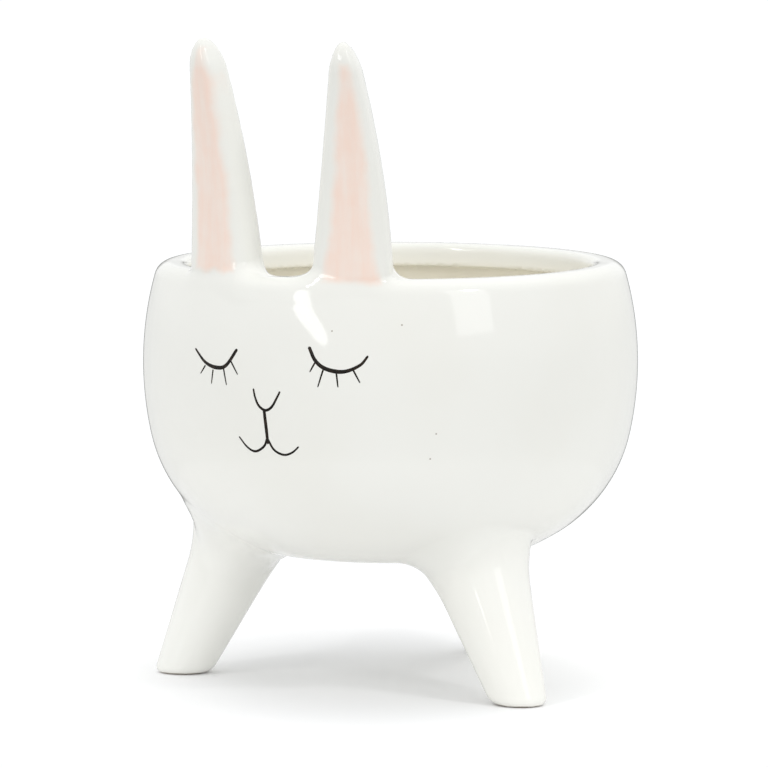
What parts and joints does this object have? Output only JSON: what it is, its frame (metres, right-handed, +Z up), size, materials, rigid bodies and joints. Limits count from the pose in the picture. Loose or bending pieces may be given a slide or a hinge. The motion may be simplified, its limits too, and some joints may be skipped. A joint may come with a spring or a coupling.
{
  "type": "three-legged rabbit planter",
  "caption": "Small glazed ceramic planter in the shape of a rabbit: a round bowl with a thick lip, two upright ears and splayed legs, with a sleeping face painted on it.",
  "frame": {"origin": "on the bowl's axis, at the level of the floor under the feet", "axes": "+Z up along the bowl's axis, -Y towards the side the face looks to, +X to the right of someone who looks at the face"},
  "size_m": [0.148, 0.148, 0.1951],
  "materials": {
    "white_glaze_bowl": "glossy off-white glaze",
    "white_glaze_ears": "glossy off-white glaze with a pale pink painted front",
    "white_glaze_legs": "glossy off-white glaze, bare at the sole"
  },
  "bodies": {
    "root": {"pot_body": "white_glaze_bowl", "left_ear": "white_glaze_ears", "right_ear": "white_glaze_ears", "front_left_leg": "white_glaze_legs", "front_right_leg": "white_glaze_legs", "back_leg": "white_glaze_legs"}
  },
  "joints": []
}
